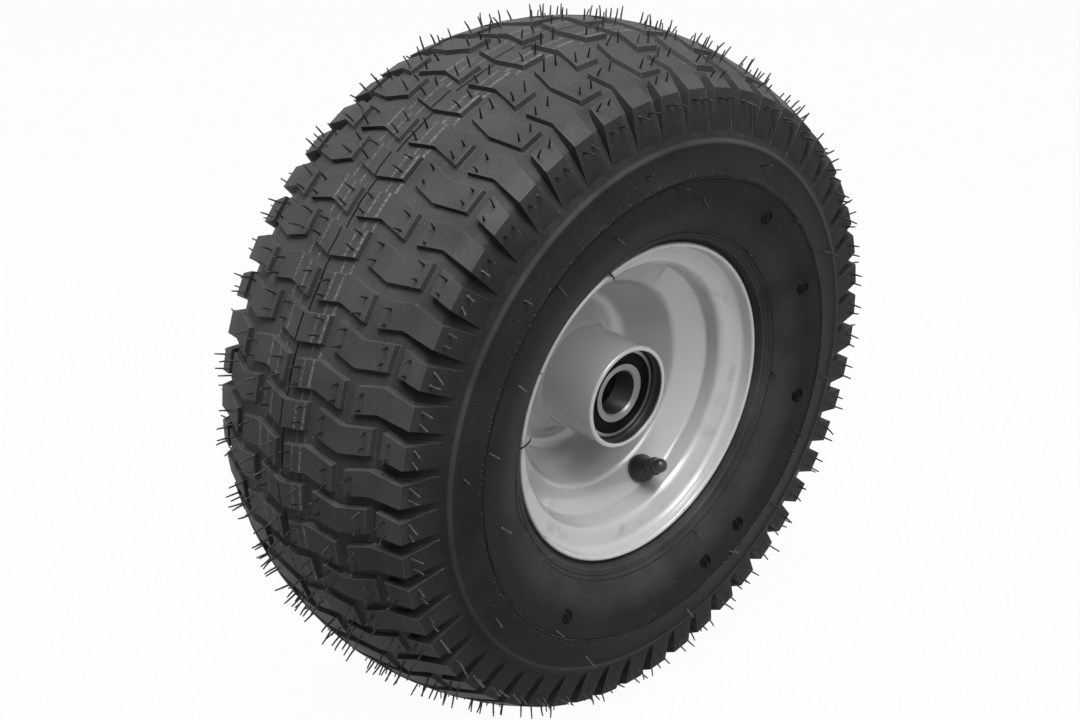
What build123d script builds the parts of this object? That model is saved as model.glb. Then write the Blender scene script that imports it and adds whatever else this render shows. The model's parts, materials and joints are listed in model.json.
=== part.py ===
from build123d import *
import math
import os

os.makedirs("parts", exist_ok=True)

# A ball-bearing wheel with a tubeless turf tyre on a two-piece pressed steel rim.
# Millimetres. The origin is on the axle line at the middle of the tyre, Y runs along the axle,
# and the valve side faces -Y. Angles run round the wheel from +X towards +Z.

# Tyre
tyre_d = 381.0
tread_depth = 2.8
tread_half_width = 70.9
shoulder_drop = 17.1
floor_bend_y = 54.0
floor_edge_drop = 21.0
floor_edge_y = 66.0
buttress_length = 21.4
buttress_flare = 3.6
rib_below_buttress = 4.9
rib_height = 1.3
rib_width = 3.6
rib_y = 77.0
flash_line_r = 129.5
flash_line_y = 81.8
flash_step = 0.7
sidewall_bulge = 2.2
bead_groove_above_lip = 7.6
bead_groove_y = 71.3
bead_groove_depth = 0.9
bead_groove_width = 1.4
cushion_above_lip = 1.2
crown_thickness = 7.5
shoulder_thickness = 12.5
belt_rise = 1.0
sidewall_thickness = 5.6
toe_y = 43.5
toe_rise = 1.6
bead_seat_gap = 0.25

# Tread blocks: how far each block reaches from the middle line
pitch_count = 27
first_row_angle = 5.587
second_row_lag = 6.667
arrow_reach = 16.0
centre_inner_y = 3.5
centre_bend_y = 18.5
centre_outer_y = 35.0
middle_inner_y = 23.8
middle_bend_y = 38.0
middle_outer_y = 54.2
long_inner_y = 42.5
long_bend_y = 55.0
short_inner_y = 59.8
block_draft = 0.9
block_root = 2.2

# Tread blocks: where each block starts and ends along its row, in degrees
block_length = 4.3
shoulder_length = 4.0
bend_lag = 1.2
buttress_spread = 0.6
buttress_root = 3.2

# Rim sheet, half the rim at a time
rim_sheet = 2.6
rim_width = 133.3
bead_seat_d = 154.0
flange_height = 12.9
flange_lean = 3.0
flange_foot_y = 54.4
seat_width = 11.0
seat_taper = 1.0
cone_drop = 14.8
cone_run = 10.2
well_drop = 12.5
web_flat_r = 38.0
web_hub_y = 14.0
lip_bend = 5.0
flange_bend = 4.0
cone_bend = 4.0
well_bend = 5.0
web_outer_bend = 9.0
web_inner_bend = 6.0
hub_weld = 3.6
weld_gap = 0.1

# Hub tube
hub_length = 110.0
hub_d = 58.0
hub_bore_d = 46.0
hub_edge = 1.3
bearing_recess = 7.0

# Sealed ball bearing, 25 x 52 x 15
bearing_bore_d = 25.0
bearing_od = 52.0
bearing_width = 15.0
ring_edge = 1.0
ball_d = 7.94
ball_count = 9
ball_circle_d = 38.5
race_clearance = 0.08
inner_ring_od = 33.2
outer_ring_id = 44.6
seal_groove_d = 46.6
seal_groove_depth = 2.0
seal_thickness = 1.5
seal_lip_gap = 0.1
seal_rim_gap = 0.05
seal_dish = 0.35
cage_wall = 1.8
cage_rail = 0.6
pocket_clearance = 0.12
seat_clearance = 0.04

# Snap-in valve, measured along its own axis from the rim's air side
valve_angle = -66.2
valve_from_seat = 8.3
valve_hole_d = 11.5
valve_bulb_d = 15.0
valve_bulb_height = 4.0
valve_bell_d = 16.0
valve_bell_height = 3.2
valve_neck_d = 9.6
valve_neck_height = 12.5
valve_fit = 0.06
valve_lift = 0.35
stem_d = 5.6
stem_thread_d = 7.7
stem_top = 21.5
stem_bottom = 5.0
stem_bore_d = 4.8
stem_air_d = 2.6
core_seat_height = 6.0
core_top_gap = 1.0
core_wall = 0.9
core_chamber = 7.0
core_fit = 0.05
pin_d = 1.3
pin_travel = 1.2
pin_rise = 0.3
pin_fit = 0.08
plunger_d = 3.6
plunger_height = 1.4
collar_d = 2.4
collar_height = 0.6
spring_wire = 0.3
spring_turns = 5
spring_gap = 0.12
cap_d = 9.2
cap_tip_d = 8.0
cap_foot = 13.2
cap_tip = 28.0
cap_skirt_height = 6.6
cap_groove = 0.8
cap_roof = 4.4
cap_dome = 3.2
cap_thread_gap = 0.1
cap_edge = 0.35

# Worked-out sizes
tyre_r = tyre_d / 2
shoulder_r = tyre_r - shoulder_drop
floor_r = tyre_r - tread_depth
floor_edge_r = tyre_r - floor_edge_drop
foot_r = shoulder_r - buttress_length
foot_y = tread_half_width + buttress_flare
rib_r = foot_r - rib_below_buttress
hub_r = hub_d / 2
hub_half = hub_length / 2
seat_r = bead_seat_d / 2 - rim_sheet / 2
lip_r = bead_seat_d / 2 + flange_height
pitch = 360 / pitch_count
bearing_middle = hub_half - bearing_recess - bearing_width / 2
ball_r = ball_d / 2
ball_circle_r = ball_circle_d / 2


def revolved(outline, turn=360):
    """Solid of revolution round the axle of a closed outline drawn as (radius, along the axle)."""
    return revolve(outline, Axis.Y, turn)


def polygon(*points):
    return make_face(Polyline(*points, close=True))


def mirrored(shape):
    """The same shape on the other side of the wheel's middle plane."""
    return mirror(shape, Plane.XZ)


def on_wheel(radius, angle, y):
    """Point at a radius and an angle round the axle."""
    turn = math.radians(angle)
    return Vector(radius * math.cos(turn), y, radius * math.sin(turn))


# Rim

def rim_line():
    """Middle line of the rim sheet from the hub out to the lip, with pressed bends."""
    corner_y = flange_foot_y - seat_width
    cone_top = (seat_r - seat_taper, corner_y)
    cone_foot = (cone_top[0] - cone_drop, corner_y - cone_run)
    well_foot = (cone_foot[0] - well_drop, rim_sheet / 2)
    slope = (web_hub_y - rim_sheet / 2) / (web_flat_r - hub_r)
    hub_end = (hub_r - hub_weld / 2, web_hub_y + slope * hub_weld / 2)
    return [
        hub_end,
        (web_flat_r, rim_sheet / 2),
        well_foot,
        cone_foot,
        cone_top,
        (seat_r, flange_foot_y),
        (lip_r - rim_sheet / 2, flange_foot_y + flange_lean),
        (lip_r - rim_sheet / 2, rim_width / 2 - rim_sheet / 2),
    ]


def rim_band(thickness):
    """Cross-section of the rim sheet at a thickness."""
    bends = [web_inner_bend, web_outer_bend, well_bend, cone_bend, flange_bend, lip_bend]
    path = FilletPolyline(*rim_line(), radius=bends)
    return make_face(offset(path, thickness / 2))


def rim_space():
    """Everything the rim keeps for itself under the tyre, on one side."""
    beyond = rim_width
    line = rim_line()
    under = polygon((0, 0), (web_flat_r, 0), *line[2:-1], (line[-1][0], beyond), (0, beyond))
    return under + rim_band(rim_sheet + 2 * bead_seat_gap)


def rim_half():
    """One pressed half with its weld to the hub tube, on the +Y side."""
    half = revolved(rim_band(rim_sheet))
    slope = (web_hub_y - rim_sheet / 2) / (web_flat_r - hub_r)
    throat = web_hub_y + rim_sheet / 2
    weld = polygon(
        (hub_r, web_hub_y),
        (hub_r, throat + hub_weld),
        (hub_r + hub_weld / 3, throat + hub_weld / 3),
        (hub_r + hub_weld, throat - hub_weld * slope + rim_sheet / 3),
        (hub_r + hub_weld, web_hub_y - hub_weld * slope),
    )
    half = half + revolved(weld)
    return half - Rot(90, 0, 0) * Cylinder(hub_r + weld_gap, 2 * rim_width)


# Hub and bearings

def hub_tube():
    """Turned tube with a bearing seat bored in each end and its ends rounded."""
    seat = bearing_od / 2 + seat_clearance
    shoulder_y = bearing_middle - bearing_width / 2
    half = polygon(
        (hub_bore_d / 2, 0),
        (hub_r, 0),
        (hub_r, hub_half),
        (seat, hub_half),
        (seat, shoulder_y),
        (hub_bore_d / 2, shoulder_y),
    )
    tube = revolved(half + mirrored(half))
    ends = tube.edges().filter_by(GeomType.CIRCLE).group_by(Axis.Y)
    return fillet(ends[0] + ends[-1], hub_edge)


def ball_race():
    return revolved(Pos(ball_circle_r, 0) * Circle(ball_r + race_clearance))


def ring(inner_r, outer_r):
    """Bearing ring blank with broken edges, centred on its own middle."""
    outline = Pos((inner_r + outer_r) / 2, 0) * Rectangle(outer_r - inner_r, bearing_width)
    return revolved(outline)


def inner_ring():
    blank = ring(bearing_bore_d / 2, inner_ring_od / 2)
    bore_edges = blank.edges().filter_by(GeomType.CIRCLE).group_by(SortBy.RADIUS)[0]
    return chamfer(bore_edges, ring_edge) - ball_race()


def outer_ring():
    blank = ring(outer_ring_id / 2, bearing_od / 2)
    rim_edges = blank.edges().filter_by(GeomType.CIRCLE).group_by(SortBy.RADIUS)[-1]
    groove_y = bearing_width / 2 - seal_groove_depth
    groove = polygon(
        (outer_ring_id / 2 - ring_edge, groove_y),
        (seal_groove_d / 2, groove_y),
        (seal_groove_d / 2, bearing_width),
        (outer_ring_id / 2 - ring_edge, bearing_width),
    )
    return chamfer(rim_edges, ring_edge) - ball_race() - revolved(groove + mirrored(groove))


def bearing_seal():
    """Rubber-faced seal on the +Y side of a bearing, with a shallow dished face."""
    lip = inner_ring_od / 2 + seal_lip_gap
    edge = seal_groove_d / 2 - seal_rim_gap
    seat_y = bearing_width / 2 - seal_groove_depth
    face_y = seat_y + seal_thickness
    third = (edge - lip) / 3
    return revolved(polygon(
        (lip, seat_y),
        (edge, seat_y),
        (edge, face_y),
        (edge - third, face_y),
        (edge - third - seal_dish, face_y - seal_dish),
        (lip + third / 2, face_y - seal_dish),
        (lip + third / 2 - seal_dish, face_y),
        (lip, face_y),
    ))


def round_the_race(shape):
    return [Rot(0, 360 / ball_count * k, 0) * shape for k in range(ball_count)]


def bearing_balls():
    return Compound(round_the_race(Pos(ball_circle_r, 0, 0) * Sphere(ball_r)))


def bearing_cage():
    """One-piece ring with a round pocket for each ball."""
    pocket_r = ball_r + pocket_clearance
    height = 2 * (pocket_r + cage_rail)
    cage = revolved(Pos(ball_circle_r, 0) * Rectangle(cage_wall, height))
    pocket = Pos(ball_circle_r, 0, 0) * Rot(0, 90, 0) * Cylinder(pocket_r, 4 * cage_wall)
    return cage - round_the_race(pocket)


# Valve

def valve_plane():
    """Plane at the valve hole on the rim's air side, its z axis along the valve, outwards."""
    cone_foot, cone_top = rim_line()[3:5]
    run = Vector(cone_top[0] - cone_foot[0], cone_top[1] - cone_foot[1]).normalized()
    out = (-run.Y, run.X)
    radius = cone_top[0] - run.X * valve_from_seat + out[0] * rim_sheet / 2
    y = cone_top[1] - run.Y * valve_from_seat + out[1] * rim_sheet / 2
    spot = on_wheel(radius, valve_angle, -y)
    axis = on_wheel(out[0], valve_angle, -out[1])
    across = Vector(-math.sin(math.radians(valve_angle)), 0, math.cos(math.radians(valve_angle)))
    return Plane(spot, x_dir=across, z_dir=axis)


def turned(*points):
    """Solid turned round the valve's own axis from (radius, height) points."""
    return revolve(Plane.XZ * polygon(*points), Axis.Z)


def valve_body():
    """Moulded rubber snap-in body: bulb inside the rim, groove on the sheet, bell outside."""
    groove_r = valve_hole_d / 2 - valve_fit
    bore_r = stem_d / 2 + valve_fit
    inside = -rim_sheet - valve_fit
    bulb_bottom = inside - valve_bulb_height
    waist_r = (valve_bell_d + valve_neck_d) / 4
    waist_height = (valve_bell_height + valve_neck_height) / 2
    return turned(
        (bore_r, bulb_bottom),
        (valve_bulb_d / 2 - valve_bulb_height / 2, bulb_bottom),
        (valve_bulb_d / 2, bulb_bottom + valve_bulb_height / 2),
        (valve_bulb_d / 2, inside),
        (groove_r, inside),
        (groove_r, valve_lift),
        (valve_bell_d / 2 - valve_lift, valve_lift),
        (valve_bell_d / 2, 2 * valve_lift),
        (valve_bell_d / 2 - 2 * valve_fit, valve_bell_height),
        (waist_r - 6 * valve_fit, waist_height),
        (valve_neck_d / 2, valve_neck_height - 6 * valve_fit),
        (valve_neck_d / 2 - 6 * valve_fit, valve_neck_height),
        (bore_r, valve_neck_height),
    )


def valve_stem():
    """Brass insert: air passage, core seat and the threaded mouth that takes the cap."""
    shoulder = valve_neck_height + valve_fit
    edge = (stem_thread_d - stem_bore_d) / 6
    return turned(
        (stem_air_d / 2, -stem_bottom),
        (stem_d / 2, -stem_bottom),
        (stem_d / 2, shoulder),
        (stem_thread_d / 2, shoulder),
        (stem_thread_d / 2, stem_top - edge),
        (stem_thread_d / 2 - edge, stem_top),
        (stem_bore_d / 2, stem_top),
        (stem_bore_d / 2, core_seat_height),
        (stem_air_d / 2, core_seat_height - (stem_bore_d - stem_air_d) / 2),
    )


def core_levels():
    """Heights of the valve core along the valve."""
    top = stem_top - core_top_gap
    return {
        "face": core_seat_height + plunger_height + pin_travel,
        "floor": top - core_chamber,
        "collar": top - core_wall,
        "top": top,
    }


def core_body():
    """Barrel with a spring chamber, closed below by the plunger and guiding the pin above."""
    levels = core_levels()
    outer = stem_bore_d / 2 - core_fit
    guide = pin_d / 2 + pin_fit
    chamber = outer - core_wall
    return turned(
        (guide, levels["face"]),
        (outer, levels["face"]),
        (outer, levels["top"]),
        (chamber, levels["top"]),
        (chamber, levels["floor"]),
        (guide, levels["floor"]),
    )


def core_pin():
    """Pin with the sealing plunger at its foot and the spring's collar near its top."""
    levels = core_levels()
    face = levels["face"]
    head = levels["top"] + pin_rise
    collar_top = levels["collar"] + collar_height / 2
    return turned(
        (0, face - plunger_height),
        (plunger_d / 2, face - plunger_height),
        (plunger_d / 2, face),
        (pin_d / 2, face),
        (pin_d / 2, collar_top - collar_height),
        (collar_d / 2, collar_top - collar_height),
        (collar_d / 2, collar_top),
        (pin_d / 2, collar_top),
        (pin_d / 2, head),
        (0, head),
    )


def core_spring():
    """Round-wire coil on the chamber floor, at the length it has when the pin is pressed."""
    levels = core_levels()
    low = levels["floor"] + spring_wire / 2
    high = levels["collar"] - collar_height / 2 - spring_wire / 2 - pin_travel - pin_fit
    coil_r = pin_d / 2 + spring_gap + spring_wire / 2
    path = Pos(0, 0, low) * Helix((high - low) / spring_turns, high - low, coil_r)
    wire = Plane(path @ 0, z_dir=path % 0) * Circle(spring_wire / 2)
    return sweep(wire, path=path, is_frenet=True)


def valve_cap():
    """Screw cap: skirt, a ring groove and a domed end, hollow over the stem's mouth."""
    bore_r = stem_thread_d / 2 + cap_thread_gap
    skirt_top = cap_foot + cap_skirt_height
    tip_r = cap_tip_d / 2
    dome_start = cap_tip - cap_dome
    ball_of_dome = (tip_r ** 2 + cap_dome ** 2) / (2 * cap_dome)
    dome_mid = (tip_r / 2, cap_tip - ball_of_dome + math.sqrt(ball_of_dome ** 2 - tip_r ** 2 / 4))
    roof = cap_tip - cap_roof
    outline = make_face(Curve() + [
        Polyline(
            (0, cap_tip),
            (0, roof),
            (bore_r - cap_edge, roof),
            (bore_r, roof - cap_edge),
            (bore_r, cap_foot),
            (cap_d / 2 - cap_edge, cap_foot),
            (cap_d / 2, cap_foot + cap_edge),
            (cap_d / 2, skirt_top - cap_edge),
            (cap_d / 2 - cap_edge, skirt_top),
            (tip_r - cap_groove / 2, skirt_top),
            (tip_r - cap_groove / 2, skirt_top + cap_groove),
            (tip_r, skirt_top + 1.5 * cap_groove),
            (tip_r, dome_start),
        ),
        ThreePointArc((tip_r, dome_start), dome_mid, (0, cap_tip)),
    ])
    return revolve(Plane.XZ * outline, Axis.Z)


# Tyre

def crown_radius(y):
    """Radius of the block tops: one arc from shoulder to shoulder."""
    arc = (tread_half_width ** 2 + shoulder_drop ** 2) / (2 * shoulder_drop)
    return tyre_r - arc + math.sqrt(arc ** 2 - y ** 2)


def floor_radius(y):
    """Radius of the groove floor: level below the block tops, then falling away at the shoulder."""
    bend_r = crown_radius(floor_bend_y) - tread_depth
    past_bend = max(abs(y) - floor_bend_y, 0) / (floor_edge_y - floor_bend_y)
    if past_bend == 0:
        return crown_radius(y) - tread_depth
    return bend_r + (floor_edge_r - bend_r) * past_bend


def halfway(start, end, more_radius, more_y):
    """Point halfway between two, pushed out to bulge an arc."""
    return ((start[0] + end[0]) / 2 + more_radius, (start[1] + end[1]) / 2 + more_y)


def outer_edges():
    """Outside of the tyre from the middle of the tread down to the rim cushion."""
    floor = [(floor_radius(floor_bend_y * k / 4), floor_bend_y * k / 4) for k in range(5)]
    groove_r = lip_r + bead_groove_above_lip
    cushion = (lip_r + cushion_above_lip, rim_width / 2 - rim_sheet)
    panel_top = (flash_line_r - flash_step / 2, flash_line_y - flash_step)
    panel_foot = (groove_r, bead_groove_y)
    panel_mid = halfway(panel_top, panel_foot, 0, sidewall_bulge)
    groove_side = (groove_r - bead_groove_width, bead_groove_y - bead_groove_depth)
    return [
        Polyline(
            *floor,
            (floor_edge_r, floor_edge_y),
            (foot_r, foot_y),
            (rib_r + rib_height, rib_y),
            (rib_r, rib_y + rib_height),
            (rib_r - rib_width / 2, rib_y + rib_height + rib_height / 4),
            (rib_r - rib_width, rib_y + rib_height),
            (flash_line_r, flash_line_y),
            panel_top,
        ),
        ThreePointArc(panel_top, panel_mid, panel_foot),
        Polyline(
            panel_foot,
            (groove_r - bead_groove_depth, bead_groove_y - 1.6 * bead_groove_depth),
            groove_side,
            (lip_r + 3 * cushion_above_lip, rim_width / 2 + 2 * cushion_above_lip),
            cushion,
        ),
    ]


def inner_edges():
    """Bead and inside of the tyre from the rim cushion back up to the middle of the tread."""
    cushion = (lip_r + cushion_above_lip, rim_width / 2 - rim_sheet)
    seat = bead_seat_d / 2
    toe = (seat + toe_rise / 4, toe_y)
    bead_top = (lip_r - toe_rise, flange_foot_y - sidewall_thickness)
    wall = (flash_line_r - flash_step, flash_line_y - sidewall_thickness)
    belt = (floor_edge_r + belt_rise, floor_edge_y - shoulder_thickness)
    crown = (floor_r - crown_thickness, 0)
    wall_mid = halfway(bead_top, wall, 0, 2.5 * sidewall_bulge)
    belt_mid = halfway(wall, belt, sidewall_bulge, 2 * sidewall_bulge)
    crown_mid = halfway(belt, crown, sidewall_bulge, 0)
    return [
        Polyline(
            cushion,
            (seat, cushion[1]),
            (seat - 2 * rim_sheet, flange_foot_y - seat_width / 3),
            (seat - 2 * rim_sheet, flange_foot_y - seat_width * 0.8),
            toe,
            (seat + 2 * toe_rise, toe_y - toe_rise / 2),
            bead_top,
        ),
        ThreePointArc(bead_top, wall_mid, wall),
        ThreePointArc(wall, belt_mid, belt),
        ThreePointArc(belt, crown_mid, crown),
        Line(crown, (floor_r, 0)),
    ]


def carcass_section():
    """Half cross-section of the tyre without its blocks, cut back from the rim, and its mirror."""
    half = make_face(Curve() + outer_edges() + inner_edges()) - rim_space()
    return half + mirrored(half)


def quad(a, b, c, d):
    """Two flat faces across four corners."""
    return [Face(Wire.make_polygon(corners)) for corners in ([a, b, c], [a, c, d])]


def block(stations):
    """Tread block through stations of four corners: top start, top end, root end, root start."""
    faces = quad(*stations[0]) + quad(*stations[-1])
    for near, far in zip(stations, stations[1:]):
        for k in range(4):
            after = (k + 1) % 4
            faces += quad(near[k], near[after], far[after], far[k])
    return Solid(Shell(faces))


def station(y, start, end, overhang=0.0):
    """Corners of a block across the tread at y, its root wider than its top by the draft."""
    top = crown_radius(y)
    root = floor_radius(y) - block_root
    spread = math.degrees(block_draft / tyre_r)
    root_y = y + overhang
    return [
        on_wheel(top, start, y),
        on_wheel(top, end, y),
        on_wheel(root, end + spread, root_y),
        on_wheel(root, start - spread, root_y),
    ]


def buttress(start, end):
    """Corners at the shoulder and at the foot of the buttress, where it runs into the sidewall."""
    root_y = foot_y - buttress_root
    shoulder = [
        on_wheel(shoulder_r, start, tread_half_width),
        on_wheel(shoulder_r, end, tread_half_width),
        on_wheel(floor_edge_r - block_root, end + buttress_spread / 2, floor_edge_y - block_root),
        on_wheel(floor_edge_r - block_root, start - buttress_spread / 2, floor_edge_y - block_root),
    ]
    foot = [
        on_wheel(foot_r, start - buttress_spread, foot_y),
        on_wheel(foot_r, end + buttress_spread, foot_y),
        on_wheel(foot_r, end + buttress_spread, root_y),
        on_wheel(foot_r, start - buttress_spread, root_y),
    ]
    return [shoulder, foot]


def dog_leg(inner_y, bend_y, outer_y, row, lag):
    """Bent block between two distances from the middle, its bend moved along the tread by lag."""
    return block([
        station(inner_y, row, row + block_length, -block_draft),
        station(bend_y, row + lag, row + block_length + lag),
        station(outer_y, row, row + block_length, block_draft),
    ])


def blocks_of_one_pitch():
    """All blocks of one pitch: the arrow across the middle, then the same blocks on each side."""
    first = first_row_angle
    second = first_row_angle + second_row_lag
    early = first - bend_lag
    arrow = block([
        station(-arrow_reach, early, early + block_length, -block_draft),
        station(0, first, first + block_length),
        station(arrow_reach, early, early + block_length, block_draft),
    ])
    side = [
        dog_leg(centre_inner_y, centre_bend_y, centre_outer_y, second, -bend_lag),
        dog_leg(middle_inner_y, middle_bend_y, middle_outer_y, early, bend_lag),
        block([
            station(long_inner_y, second, second + block_length, -block_draft),
            station(long_bend_y, second - bend_lag, second - bend_lag + block_length),
            *buttress(second, second + shoulder_length),
        ]),
        block([
            station(short_inner_y, early, early + block_length, -block_draft),
            *buttress(first, first + shoulder_length),
        ]),
    ]
    return [arrow] + side + [mirrored(shape) for shape in side]


def tyre():
    """One moulding: a pitch of carcass and blocks, patterned round the wheel."""
    gap_angle = first_row_angle + block_length + (second_row_lag - bend_lag - block_length) / 2
    sector = Rot(0, -(gap_angle + pitch), 0) * revolved(carcass_section(), pitch)
    placed = []
    for shape in blocks_of_one_pitch():
        middle = math.degrees(math.atan2(shape.center().Z, shape.center().X))
        placed.append(shape if middle > gap_angle else Rot(0, -pitch, 0) * shape)
    sector = sector.fuse(*placed)
    copies = [Rot(0, -pitch * k, 0) * sector for k in range(pitch_count)]
    return copies[0].fuse(*copies[1:])


# Assembly

def at_bearing(shape, turn):
    """Place a bearing piece at one end of the hub; its +Y side faces out of that end."""
    return Rot(turn, 0, 0) * Pos(0, bearing_middle, 0) * shape


def make_parts():
    plane = valve_plane()
    valve_hole = plane * Cylinder(valve_hole_d / 2, 4 * rim_sheet)
    parts = {
        "tyre": tyre(),
        "rim_outer_half": mirrored(rim_half()) - valve_hole,
        "rim_inner_half": rim_half(),
        "hub_tube": hub_tube(),
        "valve_body": plane * valve_body(),
        "valve_stem": plane * valve_stem(),
        "valve_core_body": plane * core_body(),
        "valve_core_pin": plane * core_pin(),
        "valve_core_spring": plane * core_spring(),
        "valve_cap": plane * valve_cap(),
    }
    inward = Rot(180, 0, 0) * bearing_seal()
    for name, turn in (("outer", 180), ("inner", 0)):
        parts[f"{name}_bearing_inner_ring"] = at_bearing(inner_ring(), turn)
        parts[f"{name}_bearing_outer_ring"] = at_bearing(outer_ring(), turn)
        parts[f"{name}_bearing_balls"] = at_bearing(bearing_balls(), turn)
        parts[f"{name}_bearing_cage"] = at_bearing(bearing_cage(), turn)
        parts[f"{name}_bearing_outside_seal"] = at_bearing(bearing_seal(), turn)
        parts[f"{name}_bearing_inside_seal"] = at_bearing(inward, turn)
    return parts


for node, shape in make_parts().items():
    export_step(shape, f"parts/{node}.step")
    print(node, len(shape.solids()), round(shape.volume, 1))
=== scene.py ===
import json
import math
import random

import bmesh
import bpy
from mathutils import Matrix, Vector
from mathutils.bvhtree import BVHTree


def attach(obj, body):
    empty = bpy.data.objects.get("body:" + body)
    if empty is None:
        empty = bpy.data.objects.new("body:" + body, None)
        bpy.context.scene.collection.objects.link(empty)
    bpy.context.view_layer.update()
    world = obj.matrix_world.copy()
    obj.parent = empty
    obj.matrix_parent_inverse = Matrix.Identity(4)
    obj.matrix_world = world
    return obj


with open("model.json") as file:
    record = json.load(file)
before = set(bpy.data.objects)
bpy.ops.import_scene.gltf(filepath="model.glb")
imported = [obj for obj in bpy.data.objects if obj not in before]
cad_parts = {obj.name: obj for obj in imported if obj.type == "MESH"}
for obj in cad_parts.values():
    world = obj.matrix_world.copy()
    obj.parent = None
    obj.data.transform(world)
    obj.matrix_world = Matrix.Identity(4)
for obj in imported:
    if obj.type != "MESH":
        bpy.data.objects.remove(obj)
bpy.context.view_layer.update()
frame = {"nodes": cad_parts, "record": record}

mm = 0.001
chance = random.Random(15)
nodes = frame["nodes"]
joints = {joint["name"]: joint for joint in frame["record"]["behaviour"]["joints"]}
print("frame loaded:", len(nodes), "nodes")


def linearColour(code):
    channels = [int(code[k:k + 2], 16) / 255 for k in (1, 3, 5)]
    return tuple(c / 12.92 if c <= 0.04045 else ((c + 0.055) / 1.055) ** 2.4 for c in channels) + (1,)


# adds one node: settings are sockets by name or number, or the node's own properties
def addNode(tree, kind, settings={}, links={}):
    node = tree.nodes.new(kind)
    for key, value in settings.items():
        if isinstance(key, int) or key in node.inputs:
            node.inputs[key].default_value = value
        else:
            setattr(node, key, value)
    for key, source in links.items():
        tree.links.new(source, node.inputs[key])
    return node


def newMaterial(name, settings):
    material = bpy.data.materials.new(name)
    material.use_nodes = True
    tree = material.node_tree
    tree.nodes.clear()
    shader = addNode(tree, "ShaderNodeBsdfPrincipled", settings)
    addNode(tree, "ShaderNodeOutputMaterial", links={"Surface": shader.outputs[0]})
    coords = addNode(tree, "ShaderNodeTexCoord")
    return material, tree, shader, coords


# the part of a place or direction that points away from the axle
def fromAxle(tree, vector):
    return addNode(
        tree, "ShaderNodeVectorMath", {"operation": "MULTIPLY", 1: (1, 0, 1)}, {0: vector},
    ).outputs[0]


def axleRadius(tree, place):
    return addNode(
        tree, "ShaderNodeVectorMath", {"operation": "LENGTH"}, {0: fromAxle(tree, place)},
    ).outputs["Value"]


# Moulded, vulcanised rubber: near black and matt, with a fine mould grain and faint clouds of bloom.
# Thin chalky stripes, rolled on before moulding, follow the tread round; a dark line of painted shade marks
# where the mould's halves met, and fine rings on the sidewalls show the edges of the mould's inner parts,
# dark ones as painted shade in their grooves and steps, pale ones as a painted highlight and sheen.
rubberLook = {
    "dark": "#2f2f30", "light": "#4d4d4e", "sideDark": "#1d1d1e", "sideLight": "#353536",
    # the near-black line colour is painted shade, for the parting line and the rings' grooves and steps;
    # the pale one after it is painted highlight and sheen, and partly wear on the shoulder tops
    "stripe": "#8f8f8c", "dust": "#77776f", "paintedShade": "#060606", "wearAndHighlight": "#6b6b6b",
    "roughness": (0.44, 0.58), "ior": 1.52, "specular": 0.04,
    "grain": 0.9 * mm,  # real mould grain is about a third of this; drawn coarser so that it shows
    "mottle": 28 * mm, "fleck": 1.1 * mm,
    # levels of the fleck noise where loose dust, the dusty ring and the broken chalk start and are full
    "dustNoise": (0.7, 0.77), "ringNoise": (0.61, 0.69), "chalkNoise": (0.4, 0.62), "dusted": 0.6,
    "sideEnds": 150 * mm, "blocksStart": 184 * mm,  # radii between which the darker sidewall colour gives way to the tread's colour
    "stripes": [(-15.0 * mm, 1.1 * mm, 0.5), (-9.2 * mm, 0.8 * mm, 0.42),
                (9.6 * mm, 0.8 * mm, 0.45), (17.0 * mm, 0.9 * mm, 0.5)],  # place, half width, strength
    "partingPlace": 1.0 * mm, "partingHalfWidth": 0.8 * mm,
    "partingWander": 1.6 * mm, "partingBend": 14 * mm,
    # paler patches on the shoulder tops: partly scuffing, partly painted highlight
    "paleShoulder": 66 * mm, "paleShoulderHalfWidth": 7 * mm, "scuffAndHighlight": 0.26,
    "speckledRings": [(130.9 * mm, 1.7 * mm, "dust", 0.55)],
    # smooth rings: painted sheen on the bead's flank, painted shade in the groove by the bead and in the
    # flash step, a painted highlight on the ridge where the buttresses start
    "smoothRings": [(98.0 * mm, 20 * mm, "wearAndHighlight", 0.3), (98.6 * mm, 0.5 * mm, "paintedShade", 0.9),
                    (129.3 * mm, 1.2 * mm, "paintedShade", 2.0), (147.6 * mm, 1.4 * mm, "wearAndHighlight", 0.4)],
}


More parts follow.
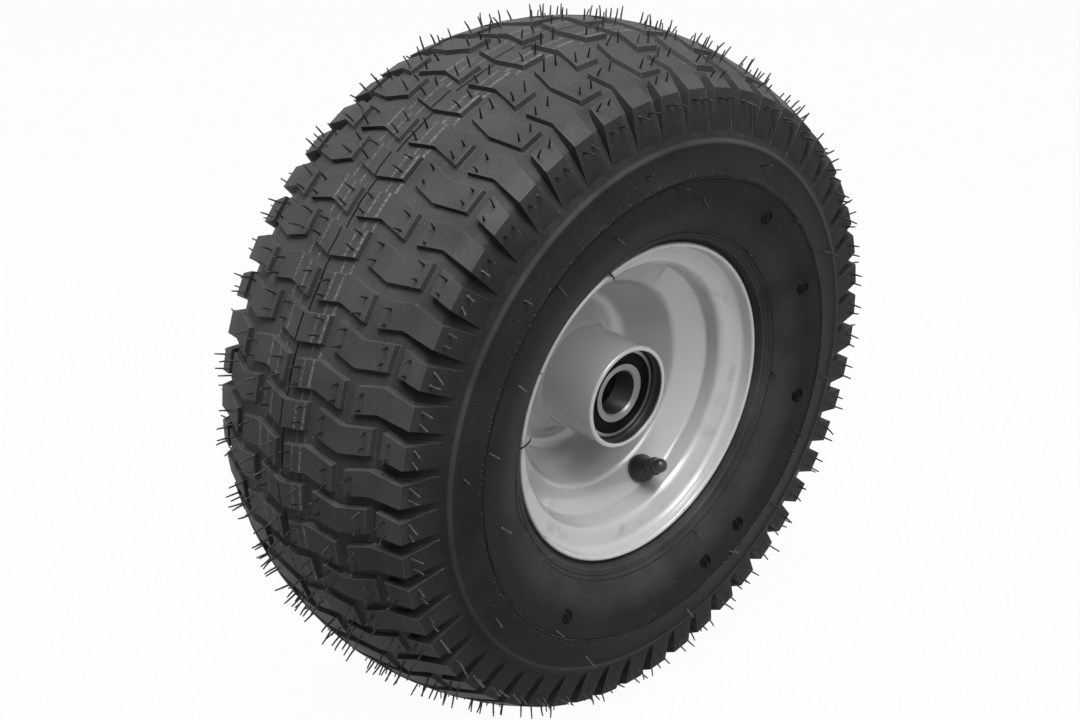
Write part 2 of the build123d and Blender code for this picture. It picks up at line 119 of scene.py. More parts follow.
def vulcanisedRubber():
    look = rubberLook
    material, tree, shader, coords = newMaterial("vulcanised_rubber", {
        "IOR": look["ior"], "Specular IOR Level": look["specular"],
    })
    place = coords.outputs["Object"]
    mottle = addNode(
        tree, "ShaderNodeTexNoise", {"Scale": 1 / look["mottle"], "Detail": 4.0}, {"Vector": place},
    )
    fleck = addNode(
        tree, "ShaderNodeTexNoise", {"Scale": 1 / look["fleck"], "Detail": 2.0}, {"Vector": place},
    )
    grain = addNode(
        tree, "ShaderNodeTexNoise", {"Scale": 1 / look["grain"], "Detail": 3.0}, {"Vector": place},
    )
    blend = addNode(
        tree, "ShaderNodeMath", {"operation": "MULTIPLY_ADD", 1: 0.7},
        {0: grain.outputs["Fac"], 2: mottle.outputs["Fac"]},
    )
    share = addNode(tree, "ShaderNodeMapRange", {1: 0.4, 2: 1.3}, {0: blend.outputs[0]})
    radius = axleRadius(tree, place)
    onBlocks = addNode(
        tree, "ShaderNodeMapRange", {1: look["sideEnds"], 2: look["blocksStart"]}, {0: radius},
    ).outputs[0]
    blocks = addNode(
        tree, "ShaderNodeMix",
        {"data_type": "RGBA", 6: linearColour(look["dark"]), 7: linearColour(look["light"])},
        {0: share.outputs[0]},
    ).outputs[2]
    sides = addNode(
        tree, "ShaderNodeMix",
        {"data_type": "RGBA", 6: linearColour(look["sideDark"]), 7: linearColour(look["sideLight"])},
        {0: share.outputs[0]},
    ).outputs[2]
    colour = addNode(
        tree, "ShaderNodeMix", {"data_type": "RGBA"}, {0: onBlocks, 6: sides, 7: blocks},
    ).outputs[2]

    # lays a paint over the colour, as strongly as a line of the given half width is near
    def paintLine(colour, distance, halfWidth, strength, mask, paint):
        near = addNode(
            tree, "ShaderNodeMapRange", {1: halfWidth, 2: halfWidth * 0.4, 3: 0.0, 4: strength},
            {0: distance},
        )
        cover = addNode(tree, "ShaderNodeMath", {"operation": "MULTIPLY"}, {0: near.outputs[0], 1: mask})
        return addNode(
            tree, "ShaderNodeMix", {"data_type": "RGBA", 7: linearColour(look[paint])},
            {0: cover.outputs[0], 6: colour},
        ).outputs[2]

    def distanceFrom(value, line):
        gap = addNode(tree, "ShaderNodeMath", {"operation": "SUBTRACT"}, {0: value})
        if isinstance(line, float):
            gap.inputs[1].default_value = line
        else:
            tree.links.new(line, gap.inputs[1])
        return addNode(tree, "ShaderNodeMath", {"operation": "ABSOLUTE"}, {0: gap.outputs[0]}).outputs[0]

    # specks of dust where the fine noise peaks
    low, high = look["dustNoise"]
    speck = addNode(
        tree, "ShaderNodeMapRange", {1: low, 2: high, 3: 0.0, 4: look["dusted"]}, {0: fleck.outputs["Fac"]},
    )
    colour = addNode(
        tree, "ShaderNodeMix", {"data_type": "RGBA", 7: linearColour(look["dust"])},
        {0: speck.outputs[0], 6: colour},
    ).outputs[2]

    # the tread's faces look away from the axle; stripes there are broken up by the fine noise
    away = addNode(
        tree, "ShaderNodeVectorMath", {"operation": "NORMALIZE"}, {0: fromAxle(tree, place)},
    ).outputs[0]
    outward = addNode(
        tree, "ShaderNodeVectorMath", {"operation": "DOT_PRODUCT"}, {0: coords.outputs["Normal"], 1: away},
    ).outputs["Value"]
    onTop = addNode(tree, "ShaderNodeMapRange", {1: 0.5, 2: 0.9}, {0: outward}).outputs[0]
    low, high = look["chalkNoise"]
    broken = addNode(tree, "ShaderNodeMapRange", {1: low, 2: high}, {0: fleck.outputs["Fac"]}).outputs[0]
    chalk = addNode(tree, "ShaderNodeMath", {"operation": "MULTIPLY"}, {0: broken, 1: onTop}).outputs[0]
    acrossTread = addNode(tree, "ShaderNodeSeparateXYZ", links={0: place}).outputs["Y"]
    for line, halfWidth, strength in look["stripes"]:
        colour = paintLine(colour, distanceFrom(acrossTread, line), halfWidth, strength, chalk, "stripe")

    # the shoulder blocks' tops are paler in patches: partly scuffs from handling and stacking, partly
    # painted highlight where their tilted tops catch the light
    shoulder = distanceFrom(distanceFrom(acrossTread, 0.0), look["paleShoulder"])
    patches = addNode(
        tree, "ShaderNodeMath", {"operation": "MULTIPLY"}, {0: mottle.outputs["Fac"], 1: onTop},
    ).outputs[0]
    colour = paintLine(colour, shoulder, look["paleShoulderHalfWidth"], look["scuffAndHighlight"], patches, "wearAndHighlight")

    # the parting line wanders about the middle of the tread; its near-black colour is painted shade along
    # the foot of its fin
    wander = addNode(
        tree, "ShaderNodeTexNoise", {"Scale": 1 / look["partingBend"], "Detail": 2.0},
        {"Vector": fromAxle(tree, place)},
    )
    offset = addNode(
        tree, "ShaderNodeMapRange",
        {3: look["partingPlace"] - look["partingWander"], 4: look["partingPlace"] + look["partingWander"]},
        {0: wander.outputs["Fac"]},
    )
    partingGap = distanceFrom(acrossTread, offset.outputs[0])
    colour = paintLine(colour, partingGap, look["partingHalfWidth"], 1.0, onTop, "paintedShade")

    # rings on the sidewalls: one of dust, broken into specks, and smooth ones: painted shade in the groove
    # by the bead and in the flash step, a painted highlight on the ridge where the buttresses start, and
    # painted sheen on the bead's flank
    low, high = look["ringNoise"]
    specks = addNode(tree, "ShaderNodeMapRange", {1: low, 2: high}, {0: fleck.outputs["Fac"]}).outputs[0]
    for kind, mask in (("speckledRings", specks), ("smoothRings", mottle.outputs["Fac"])):
        for line, halfWidth, paint, strength in look[kind]:
            colour = paintLine(colour, distanceFrom(radius, line), halfWidth, strength, mask, paint)

    sheen = addNode(
        tree, "ShaderNodeMapRange",
        {1: 0.3, 2: 0.7, 3: look["roughness"][0], 4: look["roughness"][1]},
        {0: mottle.outputs["Fac"]},
    )
    bump = addNode(
        tree, "ShaderNodeBump", {"Strength": 0.3, "Distance": 0.12 * mm}, {"Height": grain.outputs["Fac"]},
    )
    tree.links.new(colour, shader.inputs["Base Color"])
    tree.links.new(sheen.outputs[0], shader.inputs["Roughness"])
    tree.links.new(bump.outputs[0], shader.inputs["Normal"])
    return material


# Silver-grey enamel sprayed on pressed steel: pale, smooth and glossy, with faint clouds and orange peel
# in the reflections, and grey rubs and chips on the rolled lip where the tyre was levered on.
enamelLook = {
    "silver": "#c5c6c5", "shade": "#babbba", "chip": "#6d6e6e", "smudge": "#8e8e8b",
    "metallic": 0.1, "roughness": 0.27, "coat": 0.9, "coatRoughness": 0.05,
    "peel": 3.0 * mm, "cloud": 40 * mm,
    "flake": 0.5 * mm,  # real pigment is far finer; drawn coarser so that it shows
    "chipSize": 3.0 * mm, "chipNoise": (0.66, 0.71), "chipRoughness": 0.52,
    "lipRadius": 86.5 * mm, "lipFade": 1.5 * mm,
    "smudgeSize": 17 * mm, "smudgeNoise": (0.54, 0.7), "smudged": 0.5,
    "smudgeRadius": 79 * mm, "smudgeHalfWidth": 7 * mm,
}


def enamelCoat(tree, place, shader):
    look = enamelLook
    cloud = addNode(
        tree, "ShaderNodeTexNoise", {"Scale": 1 / look["cloud"], "Detail": 2.0}, {"Vector": place},
    )
    flake = addNode(
        tree, "ShaderNodeTexNoise", {"Scale": 1 / look["flake"], "Detail": 1.0}, {"Vector": place},
    )
    peel = addNode(
        tree, "ShaderNodeTexNoise", {"Scale": 1 / look["peel"], "Detail": 1.0}, {"Vector": place},
    )
    chips = addNode(
        tree, "ShaderNodeTexNoise", {"Scale": 1 / look["chipSize"], "Detail": 3.0}, {"Vector": place},
    )
    blend = addNode(
        tree, "ShaderNodeMath", {"operation": "MULTIPLY_ADD", 1: 0.35},
        {0: flake.outputs["Fac"], 2: cloud.outputs["Fac"]},
    )
    colour = addNode(
        tree, "ShaderNodeMix",
        {"data_type": "RGBA", 6: linearColour(look["shade"]), 7: linearColour(look["silver"])},
        {0: blend.outputs[0]},
    ).outputs[2]
    radius = axleRadius(tree, place)

    # smudges on the ledge inside the lip
    dirt = addNode(
        tree, "ShaderNodeTexNoise", {"Scale": 1 / look["smudgeSize"], "Detail": 5.0}, {"Vector": place},
    )
    low, high = look["smudgeNoise"]
    patch = addNode(
        tree, "ShaderNodeMapRange", {1: low, 2: high, 4: look["smudged"]}, {0: dirt.outputs["Fac"]},
    ).outputs[0]
    aside = addNode(tree, "ShaderNodeMath", {"operation": "SUBTRACT", 1: look["smudgeRadius"]}, {0: radius})
    offLedge = addNode(tree, "ShaderNodeMath", {"operation": "ABSOLUTE"}, {0: aside.outputs[0]})
    ledge = addNode(
        tree, "ShaderNodeMapRange", {1: look["smudgeHalfWidth"], 2: 0.4 * look["smudgeHalfWidth"]},
        {0: offLedge.outputs[0]},
    ).outputs[0]
    smudge = addNode(tree, "ShaderNodeMath", {"operation": "MULTIPLY"}, {0: patch, 1: ledge}).outputs[0]
    colour = addNode(
        tree, "ShaderNodeMix", {"data_type": "RGBA", 7: linearColour(look["smudge"])},
        {0: smudge, 6: colour},
    ).outputs[2]

    # rubs and chips on the lip
    lip = addNode(
        tree, "ShaderNodeMapRange", {1: look["lipRadius"], 2: look["lipRadius"] + look["lipFade"]},
        {0: radius},
    )
    low, high = look["chipNoise"]
    peak = addNode(tree, "ShaderNodeMapRange", {1: low, 2: high}, {0: chips.outputs["Fac"]})
    bare = addNode(
        tree, "ShaderNodeMath", {"operation": "MULTIPLY"}, {0: lip.outputs[0], 1: peak.outputs[0]},
    ).outputs[0]
    colour = addNode(
        tree, "ShaderNodeMix", {"data_type": "RGBA", 7: linearColour(look["chip"])}, {0: bare, 6: colour},
    ).outputs[2]
    rough = addNode(
        tree, "ShaderNodeMapRange", {3: look["roughness"], 4: look["chipRoughness"]}, {0: bare},
    ).outputs[0]
    bump = addNode(
        tree, "ShaderNodeBump", {"Strength": 0.08, "Distance": 0.08 * mm}, {"Height": peel.outputs["Fac"]},
    )
    tree.links.new(bump.outputs[0], shader.inputs["Normal"])
    return colour, rough


def silverEnamel():
    look = enamelLook
    material, tree, shader, coords = newMaterial("silver_enamel_on_pressed_steel", {
        "Metallic": look["metallic"], "Coat Weight": look["coat"], "Coat Roughness": look["coatRoughness"],
    })
    colour, rough = enamelCoat(tree, coords.outputs["Object"], shader)
    tree.links.new(colour, shader.inputs["Base Color"])
    tree.links.new(rough, shader.inputs["Roughness"])
    return material


# The hub tube: the same enamel outside, dull bare steel in the bearing seats,
# where the paint stops at the inner edge of the tube's end.
hubLook = {
    "steel": "#606061", "steelRoughness": 0.42, "paintMetallic": 0.24,
    "paintStops": (26.3 * mm, 26.6 * mm),  # radii between which the paint begins
}


def enamelAndTurnedSteel():
    look = hubLook
    material, tree, shader, coords = newMaterial("silver_enamel_and_turned_steel", {
        "Coat Roughness": enamelLook["coatRoughness"],
    })
    place = coords.outputs["Object"]
    colour, rough = enamelCoat(tree, place, shader)
    bareTo, paintedFrom = look["paintStops"]
    painted = addNode(
        tree, "ShaderNodeMapRange", {1: bareTo, 2: paintedFrom}, {0: axleRadius(tree, place)},
    ).outputs[0]
    colour = addNode(
        tree, "ShaderNodeMix", {"data_type": "RGBA", 6: linearColour(look["steel"])},
        {0: painted, 7: colour},
    ).outputs[2]
    rough = addNode(
        tree, "ShaderNodeMix", {2: look["steelRoughness"]}, {0: painted, 3: rough},
    ).outputs[0]
    metal = addNode(
        tree, "ShaderNodeMapRange", {3: 1.0, 4: look["paintMetallic"]}, {0: painted},
    ).outputs[0]
    tree.links.new(colour, shader.inputs["Base Color"])
    tree.links.new(rough, shader.inputs["Roughness"])
    tree.links.new(metal, shader.inputs["Metallic"])
    tree.links.new(painted, shader.inputs["Coat Weight"])
    return material


# Metals turned or ground on a lathe: fine rings round the axle break the reflection up, and where they are
# honed as well, stretch it across the rings. Real rings are finer: they are drawn coarser so as to show.
def turnedMetal(name, colour, roughness, ringPitch, stretch=0.0):
    material, tree, shader, coords = newMaterial(name, {
        "Metallic": 1.0, "Anisotropic": stretch, "Anisotropic Rotation": 0.25,
    })
    if stretch:
        roundAxle = addNode(tree, "ShaderNodeTangent", {"direction_type": "RADIAL", "axis": "Y"})
        tree.links.new(roundAxle.outputs[0], shader.inputs["Tangent"])
    rings = addNode(
        tree, "ShaderNodeTexNoise", {"noise_dimensions": "1D", "Scale": 1 / ringPitch, "Detail": 2.0},
        {"W": axleRadius(tree, coords.outputs["Object"])},
    ).outputs["Fac"]
    ridge = linearColour(colour)
    groove = tuple(0.8 * c for c in ridge[:3]) + (1,)
    tint = addNode(
        tree, "ShaderNodeMix", {"data_type": "RGBA", 6: groove, 7: ridge}, {0: rings},
    ).outputs[2]
    rough = addNode(
        tree, "ShaderNodeMapRange", {1: 0.3, 2: 0.7, 3: roughness - 0.06, 4: roughness + 0.1}, {0: rings},
    ).outputs[0]
    tree.links.new(tint, shader.inputs["Base Color"])
    tree.links.new(rough, shader.inputs["Roughness"])
    return material


# Moulded rubbers and plastics without a tread: one colour with a slight cloud and a fine mould grain.
# Real grain is finer: it is drawn coarser so as to show.
def mouldedSurface(name, dark, light, roughness, ior, specular, grain):
    material, tree, shader, coords = newMaterial(name, {"IOR": ior, "Specular IOR Level": specular})
    place = coords.outputs["Object"]
    cloud = addNode(
        tree, "ShaderNodeTexNoise", {"Scale": 1 / (20 * grain), "Detail": 3.0}, {"Vector": place},
    )
    pits = addNode(tree, "ShaderNodeTexNoise", {"Scale": 1 / grain, "Detail": 2.0}, {"Vector": place})
    colour = addNode(
        tree, "ShaderNodeMix",
        {"data_type": "RGBA", 6: linearColour(dark), 7: linearColour(light)},
        {0: cloud.outputs["Fac"]},
    ).outputs[2]
    rough = addNode(
        tree, "ShaderNodeMapRange", {1: 0.3, 2: 0.7, 3: roughness - 0.05, 4: roughness + 0.07},
        {0: cloud.outputs["Fac"]},
    ).outputs[0]
    bump = addNode(
        tree, "ShaderNodeBump", {"Strength": 0.2, "Distance": 0.05 * mm}, {"Height": pits.outputs["Fac"]},
    )
    tree.links.new(colour, shader.inputs["Base Color"])
    tree.links.new(rough, shader.inputs["Roughness"])
    tree.links.new(bump.outputs[0], shader.inputs["Normal"])
    return material


tyreRubber = vulcanisedRubber()
# rounded block edges: paler and glossier than the tread, a painted highlight
edgeHighlightRubber = mouldedSurface("rubber_edges_painted_highlight", "#505051", "#5e5e5f", 0.3, 1.52, 1.0, 0.5 * mm)
# threads darker than the tyre's rubber: painted shade for their shaded sides
shadedThreadRubber = mouldedSurface("rubber_threads_painted_shade", "#1b1b1c", "#262627", 0.34, 1.52, 0.22, 0.5 * mm)
# paler threads: painted light, a lit copy of the thread rubber
litThreadRubber = mouldedSurface("rubber_threads_painted_light", "#363635", "#4c4c4a", 0.4, 1.52, 0.3, 0.5 * mm)
markRubber = mouldedSurface("vulcanised_rubber_marks", "#050505", "#0c0c0d", 0.36, 1.52, 0.06, 0.5 * mm)
enamel = silverEnamel()
capPlastic = mouldedSurface("moulded_polypropylene", "#202021", "#2e2e2f", 0.28, 1.49, 0.5, 0.4 * mm)
finishes = {
    "tyre": tyreRubber,
    "rim_outer_half": enamel,
    "rim_inner_half": enamel,
    "hub_tube": enamelAndTurnedSteel(),
    "valve_body": mouldedSurface("moulded_valve_rubber", "#1f1f20", "#2c2c2d", 0.36, 1.52, 0.38, 0.5 * mm),
    "valve_cap": capPlastic,
    "valve_stem": turnedMetal("turned_brass", "#c9a052", 0.3, 0.3 * mm),
    "valve_core_body": turnedMetal("turned_brass_core", "#c2994e", 0.32, 0.3 * mm),
    "valve_core_pin": turnedMetal("turned_brass_pin", "#c8a055", 0.3, 0.3 * mm),
    "valve_core_spring": turnedMetal("drawn_spring_wire", "#8b8b8b", 0.3, 0.3 * mm),
}
raceSteel = turnedMetal("ground_bearing_steel", "#a2a2a1", 0.4, 0.35 * mm)
boreSteel = turnedMetal("honed_bearing_steel", "#8f8f8e", 0.4, 0.35 * mm, 0.85)
ballSteel = turnedMetal("lapped_ball_steel", "#d2d2d0", 0.12, 0.6 * mm)
cageNylon = mouldedSurface("moulded_nylon", "#b8a988", "#cbbd9d", 0.45, 1.53, 0.5, 0.5 * mm)
sealRubber = mouldedSurface("moulded_nitrile_rubber", "#060607", "#0d0d0e", 0.42, 1.52, 0.05, 0.5 * mm)
for end in ("outer", "inner"):
    finishes[f"{end}_bearing_inner_ring"] = boreSteel
    finishes[f"{end}_bearing_outer_ring"] = raceSteel
    finishes[f"{end}_bearing_balls"] = ballSteel
    finishes[f"{end}_bearing_cage"] = cageNylon
    finishes[f"{end}_bearing_outside_seal"] = sealRubber
    finishes[f"{end}_bearing_inside_seal"] = sealRubber
for name, material in finishes.items():
    mesh = nodes[name].data
    mesh.materials.clear()
    mesh.materials.append(material)
print("materials:", len(set(finishes.values())))


# Rubber never leaves a mould with a knife edge: the block edges get a small round, whose faces take a
# paler, glossier rubber as a painted highlight
blockEdges = {"joinWithin": 0.005 * mm, "width": 0.5 * mm, "segments": 2, "sharperThan": 35}


def roundBlockEdges():
    tyre = nodes["tyre"]
    tyre.data.materials.append(edgeHighlightRubber)
    weld = tyre.modifiers.new("join_faces", "WELD")
    weld.merge_threshold = blockEdges["joinWithin"]
    bevel = tyre.modifiers.new("block_edges", "BEVEL")
    bevel.width = blockEdges["width"]
    bevel.segments = blockEdges["segments"]
    bevel.limit_method = "ANGLE"
    bevel.angle_limit = math.radians(blockEdges["sharperThan"])
    # the round's faces take the painted-highlight rubber
    bevel.material = 1
    tyre.modifiers.new("even_shading", "WEIGHTED_NORMAL")


roundBlockEdges()
print("block edges rounded")


# The tyre's own surface, for placing what was moulded on it
tyreMesh = nodes["tyre"].data
tyreSurface = BVHTree.FromPolygons(
    [v.co for v in tyreMesh.vertices], [tuple(p.vertices) for p in tyreMesh.polygons],
)
clearOfTread = 300 * mm  # from the axle
clearOfSidewall = 200 * mm  # from the middle of the tread


def wheelPoint(radius, angle, y):
    turn = math.radians(angle)
    return Vector((radius * math.cos(turn), y, radius * math.sin(turn)))


# point and outward normal on the tread, found straight in from outside
def onTread(y, angle):
    start = wheelPoint(clearOfTread, angle, y)
    spot, normal, _, _ = tyreSurface.ray_cast(start, wheelPoint(-1, angle, 0))
    return spot, normal


# the same on a sidewall: side -1 is the valve's side
def onSidewall(radius, angle, side):
    start = wheelPoint(radius, angle, clearOfSidewall * side)
    spot, normal, _, _ = tyreSurface.ray_cast(start, Vector((0, -side, 0)))
    return spot, normal


def addPiece(name, shape, material, body):
    mesh = bpy.data.meshes.new(name)
    shape.to_mesh(mesh)
    shape.free()
    mesh.materials.append(material)
    piece = bpy.data.objects.new(name, mesh)
    bpy.context.scene.collection.objects.link(piece)
    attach(piece, body)
    return piece


# tube through a few centres, each with its radius, closed at its far end
def addTube(shape, centres, radii, sides):
    previous = None
    direction = (centres[-1] - centres[0]).normalized()
    across = direction.orthogonal().normalized()
    along = direction.cross(across)
    for centre, radius in zip(centres, radii):
        loop = []
        for k in range(sides):
            turn = 2 * math.pi * k / sides
            spoke = across * math.cos(turn) + along * math.sin(turn)
            loop.append(shape.verts.new(centre + spoke * radius))
        if previous:
            for k in range(sides):
                after = (k + 1) % sides
                shape.faces.new((previous[k], previous[after], loop[after], loop[k]))
        previous = loop
    shape.faces.new(previous)


# Vent threads: rubber drawn into the mould's vent holes, left standing on each block and sidewall;
# they are painted darker than the tyre as shade, and paler as painted light where their lit sides face the
# camera.
# Angles are measured from the start of each block, distances from the middle of the tread.
tread = {
    "pitches": 27, "firstRow": 5.587, "rowLag": 6.667, "bendLag": 1.2, "blockLength": 4.3,
    "arrowEnd": 16.0 * mm, "centre": (3.5 * mm, 35.0 * mm), "middle": (23.8 * mm, 54.2 * mm),
    "longStart": 42.5 * mm, "shortStart": 59.8 * mm,
}
threads = {
    "length": (5.4 * mm, 8.2 * mm), "radius": 0.5 * mm, "lean": 0.2, "bend": 0.14, "sag": 0.06,
    "steps": [0.0, 0.1, 0.4, 0.7, 1.0], "thickness": [1.7, 1.1, 1.0, 0.9, 0.75], "sides": 6,
    "rootDepth": 0.2 * mm, "endInset": 3.4 * mm, "sideInset": 0.9, "ground": -190.2 * mm,
    "buttress": [(0.8, 168.0 * mm), (2.9, 168.0 * mm)],  # angle past the block's start, radius
    "sideRows": [
        (140 * mm, [-79, -45, -12, 22, 60, 97, 135, 173, 211, 247]),
        (127 * mm, [-62, -26, 40, 88, 128, 168, 232]),
        (117 * mm, [77, 108, 152, 190]),
        (99.5 * mm, [-68, -8, 45, 215, 237]),
    ],
    "litSide": 225,  # threads of the sidewalls and shoulders within a quarter turn of this get the paler rubber, painted light where their lit sides face the camera
    # two that fell over the rim's lip on the valve's side: their route in mm out and across, and the
    # degrees that they drift from point to point
    "overLip": [109, 174],
    "lipRoute": [(93.5, -66.0), (91.0, -67.6), (88.5, -67.9), (85.5, -67.2), (83.0, -65.5)],
    "lipDrift": 0.6,
    # a fold of rubber beside the bead: mm out and degrees round, and its thickness at each point
    "fold": [(97.6, 177), (98.9, 182), (99.8, 187), (100.0, 191), (99.4, 196), (98.0, 201)],
    "foldThickness": [0.5, 1.3, 1.3, 1.3, 1.3, 0.5], "foldSides": 8,
}


def addThread(shape, root, normal, paintedLit=False):
    look = threads
    before = len(shape.faces)
    length = chance.uniform(*look["length"])
    lean = Vector([chance.uniform(-1, 1) for _ in range(3)]) * look["lean"]
    bend = Vector([chance.uniform(-1, 1) for _ in range(3)]) * look["bend"] - Vector((0, 0, look["sag"]))
    direction = (normal + lean).normalized()
    centres = []
    for step in look["steps"]:
        centre = root + direction * (length * step - look["rootDepth"]) + bend * length * step * step
        pressed = max(look["ground"] - centre.z, 0)  # under the wheel they fold flat on the ground
        centres.append(centre + Vector((math.copysign(pressed, centre.x), 0, pressed)))
    addTube(shape, centres, [look["radius"] * t for t in look["thickness"]], look["sides"])
    shape.faces.ensure_lookup_table()
    for face in shape.faces[before:]:
        face.material_index = int(paintedLit)


# whether a place round the wheel is on the side whose threads are painted as lit
def onLitSide(angle):
    return math.cos(math.radians(angle - threads["litSide"])) > 0


# where the threads stand on one side's blocks of a pitch: (distance from the middle, row angle)
def threadSpots():
    inset = threads["endInset"]
    early = -tread["bendLag"]
    second = tread["rowLag"]
    return [
        (tread["arrowEnd"] - inset, early),
        (tread["middle"][0] + inset, early), (tread["middle"][1] - inset, early),
        (tread["shortStart"] + inset, early + 0.4 * tread["bendLag"]),
        (tread["centre"][0] + inset, second), (tread["centre"][1] - inset, second),
        (tread["longStart"] + inset, second),
    ]


def makeThreads():
    look = threads
    shape = bmesh.new()
    for pitch in range(tread["pitches"]):
        base = tread["firstRow"] + pitch * 360 / tread["pitches"]
        for side in (-1, 1):
            for y, row in threadSpots():
                for offset in (look["sideInset"], tread["blockLength"] - look["sideInset"]):
                    addThread(shape, *onTread(side * y, base + row + offset))
            for row in (0, tread["rowLag"]):
                for offset, radius in look["buttress"]:
                    angle = base + row + offset
                    addThread(shape, *onSidewall(radius, angle, side), onLitSide(angle))
    for side in (-1, 1):
        for radius, angles in look["sideRows"]:
            for angle in angles:
                addThread(shape, *onSidewall(radius, angle, side), onLitSide(angle))
    for angle in look["overLip"]:
        centres = [
            wheelPoint(radius * mm, angle - look["lipDrift"] * k, y * mm)
            for k, (radius, y) in enumerate(look["lipRoute"])
        ]
        addTube(shape, centres, [look["radius"] * t for t in look["thickness"]], look["sides"])
    fold = [onSidewall(radius * mm, angle, -1)[0] for radius, angle in look["fold"]]
    addTube(shape, fold, [look["radius"] * t for t in look["foldThickness"]], look["foldSides"])
    for face in shape.faces:
        face.smooth = True
    piece = addPiece("vent_threads", shape, shadedThreadRubber, "wheel")
    piece.data.materials.append(litThreadRubber)


makeThreads()
print("vent threads done")


# Marks left on the sidewalls by the mould's round inserts: a raised ring round a pit with a nub in it
insertMarks = {
    "radius": 118 * mm, "angles": [-126, -70, -55.5, -15.5, 18, 49],
    # profile from the middle outwards: mm out, mm up
    "ring": [(0.7, 0.5), (1.2, 0.4), (1.5, 0.02), (2.7, 0.02), (3.1, 0.6), (3.7, 0.6), (4.1, -0.04)],
    "sides": 28,
}


def makeInsertMarks():
    look = insertMarks
    shape = bmesh.new()
    for side in (-1, 1):
        for angle in look["angles"]:
            centre, normal = onSidewall(look["radius"], angle, side)
            across = normal.orthogonal().normalized()
            along = normal.cross(across)
            loops = []
            for distance, height in look["ring"]:
                loop = []
                for k in range(look["sides"]):
                    turn = 2 * math.pi * k / look["sides"]
                    flat = centre + (across * math.cos(turn) + along * math.sin(turn)) * distance * mm
                    spot, _, _, _ = tyreSurface.ray_cast(flat + normal * 10 * mm, -normal)
                    loop.append(shape.verts.new(spot + normal * height * mm))
                loops.append(loop)
            shape.faces.new(loops[0])
            for inner, outer in zip(loops, loops[1:]):
                for k in range(look["sides"]):
                    after = (k + 1) % look["sides"]
                    shape.faces.new((inner[k], outer[k], outer[after], inner[after]))
    bmesh.ops.recalc_face_normals(shape, faces=shape.faces)
    addPiece("mould_insert_marks", shape, markRubber, "wheel")


makeInsertMarks()
print("sidewall marks done")


# Grip ribs moulded on the skirt of the valve cap, along its own axis
capGrip = {
    "foot": {"radius": 67.13 * mm, "angle": -66.2, "y": -39.76 * mm},  # where the valve leaves the rim
    "skirt": (13.8 * mm, 19.2 * mm), "skirtRadius": 4.6 * mm,
    "ribs": 24, "ribRadius": 0.5 * mm, "ribSides": 8,
}


def makeCapGrip():
    look = capGrip
    axis = Vector(joints["valve_cap_off"]["axis"]).normalized()
    foot = wheelPoint(look["foot"]["radius"], look["foot"]["angle"], look["foot"]["y"])
    across = axis.orthogonal().normalized()
    along = axis.cross(across)
    low, high = look["skirt"]
    shape = bmesh.new()
    for k in range(look["ribs"]):
        turn = 2 * math.pi * k / look["ribs"]
        outward = across * math.cos(turn) + along * math.sin(turn)
        line = foot + outward * look["skirtRadius"]
        sink = outward * look["ribRadius"]
        centres = [line + axis * low - sink, line + axis * (low + look["ribRadius"]),
                   line + axis * (high - look["ribRadius"]), line + axis * high - sink]
        addTube(shape, centres, [look["ribRadius"]] * len(centres), look["ribSides"])
    for face in shape.faces:
        face.smooth = True
    addPiece("cap_grip_ribs", shape, capPlastic, "valve_cap")


makeCapGrip()
print("cap grip done")


# Studio: a pale floor, which the camera and reflections see as white as the sky, and soft lamps above,
# behind and in front
studio = {
    "floorSize": 16.0, "floorHeight": -190.6 * mm, "floorColour": "#b4b4b4", "floorGlow": 0.97,
    "skyWhite": 0.975, "skyStrength": 0.015, "lampSpread": 70,
    "lamps": [
        # name, place, width, height, watts
        ("overhead softbox", (-0.4, -0.3, 2.0), 1.1, 1.1, 9.5),
        ("back softbox", (-0.95, 1.3, 1.25), 1.2, 1.2, 2.8),
        ("front softbox", (-0.1, -0.8, 0.95), 0.9, 0.9, 1.7),
    ],
}


# 1 for rays from the camera and for reflections and glass, which see plain white
def whiteRays(tree):
    ray = addNode(tree, "ShaderNodeLightPath")
    seen = ray.outputs["Is Camera Ray"]
    for kind in ("Is Glossy Ray", "Is Transmission Ray"):
        seen = addNode(
            tree, "ShaderNodeMath", {"operation": "MAXIMUM"}, {0: seen, 1: ray.outputs[kind]},
        ).outputs[0]
    return seen


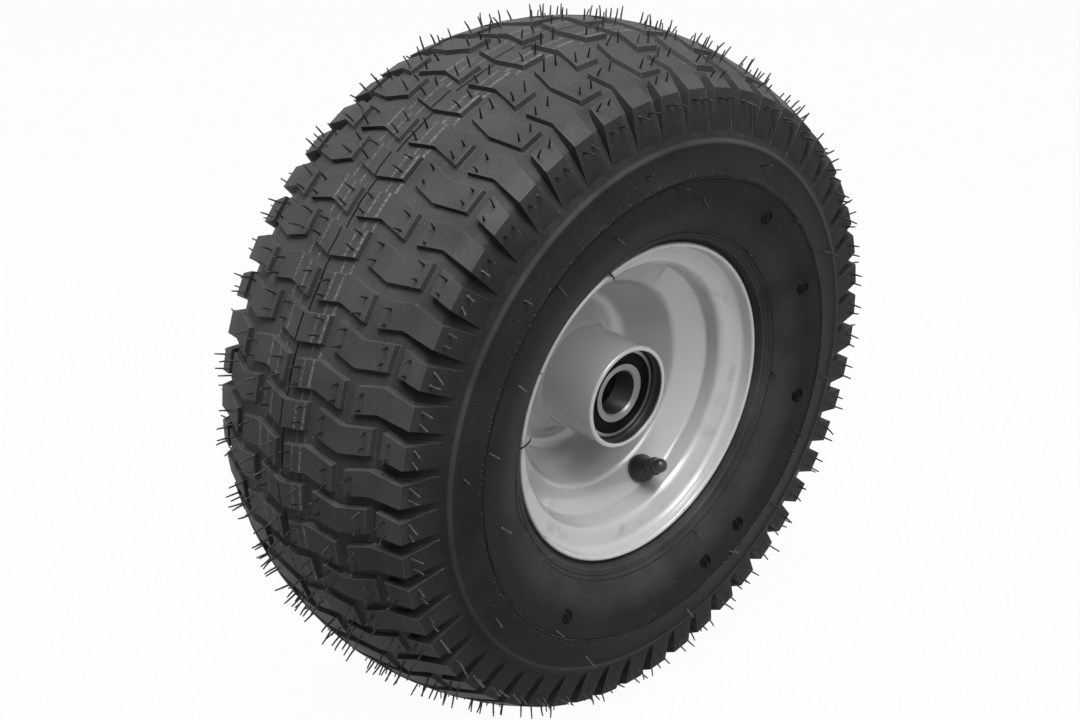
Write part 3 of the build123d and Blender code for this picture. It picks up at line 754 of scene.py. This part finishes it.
def makeFloor():
    look = studio
    half = look["floorSize"] / 2
    mesh = bpy.data.meshes.new("studio_floor")
    corners = [(-half, -half), (half, -half), (half, half), (-half, half)]
    mesh.from_pydata([(x, y, look["floorHeight"]) for x, y in corners], [], [(0, 1, 2, 3)])
    floor = bpy.data.objects.new("studio_floor", mesh)
    bpy.context.scene.collection.objects.link(floor)
    material = bpy.data.materials.new("white_paper_sweep")
    material.use_nodes = True
    tree = material.node_tree
    tree.nodes.clear()
    paper = addNode(tree, "ShaderNodeBsdfDiffuse", {"Color": linearColour(look["floorColour"])})
    glow = addNode(tree, "ShaderNodeEmission", {"Color": (1, 1, 1, 1), "Strength": 1.0})
    share = addNode(
        tree, "ShaderNodeMath", {"operation": "MULTIPLY", 1: look["floorGlow"]}, {0: whiteRays(tree)},
    )
    mixed = addNode(
        tree, "ShaderNodeMixShader", links={0: share.outputs[0], 1: paper.outputs[0], 2: glow.outputs[0]},
    )
    addNode(tree, "ShaderNodeOutputMaterial", links={"Surface": mixed.outputs[0]})
    mesh.materials.append(material)


def makeLights():
    look = studio
    world = bpy.data.worlds.new("studio")
    bpy.context.scene.world = world
    world.use_nodes = True
    tree = world.node_tree
    tree.nodes.clear()
    strength = addNode(
        tree, "ShaderNodeMapRange", {3: look["skyStrength"], 4: look["skyWhite"]}, {0: whiteRays(tree)},
    )
    sky = addNode(tree, "ShaderNodeBackground", {"Color": (1, 1, 1, 1)}, {"Strength": strength.outputs[0]})
    addNode(tree, "ShaderNodeOutputWorld", links={"Surface": sky.outputs[0]})
    for name, place, width, height, watts in look["lamps"]:
        lamp = bpy.data.lights.new(name, "AREA")
        lamp.shape = "RECTANGLE"
        lamp.size = width
        lamp.size_y = height
        lamp.energy = watts
        lamp.spread = math.radians(look["lampSpread"])
        holder = bpy.data.objects.new(name, lamp)
        holder.location = place
        holder.rotation_euler = (-Vector(place)).to_track_quat("-Z", "Y").to_euler()
        bpy.context.scene.collection.objects.link(holder)


makeFloor()
makeLights()
print("studio done")


# The photograph's camera: turned about the upright, then raised; lens and sensor in mm
photoCamera = {
    "azimuth": -43.8819, "elevation": 27.5483, "eye": (-0.67575, -0.68939, 0.50554),
    "lens": 65.84, "sensorWidth": 36.0,
}


def makeCamera():
    look = photoCamera
    data = bpy.data.cameras.new("photo_camera")
    data.lens = look["lens"]
    data.sensor_width = look["sensorWidth"]
    data.sensor_fit = "HORIZONTAL"
    camera = bpy.data.objects.new("photo_camera", data)
    camera.location = look["eye"]
    camera.rotation_euler = (math.radians(90 - look["elevation"]), 0, math.radians(look["azimuth"]))
    bpy.context.scene.collection.objects.link(camera)
    bpy.context.scene.camera = camera


makeCamera()
bpy.context.scene.view_settings.view_transform = "Standard"
bpy.context.view_layer.update()
print("camera done")
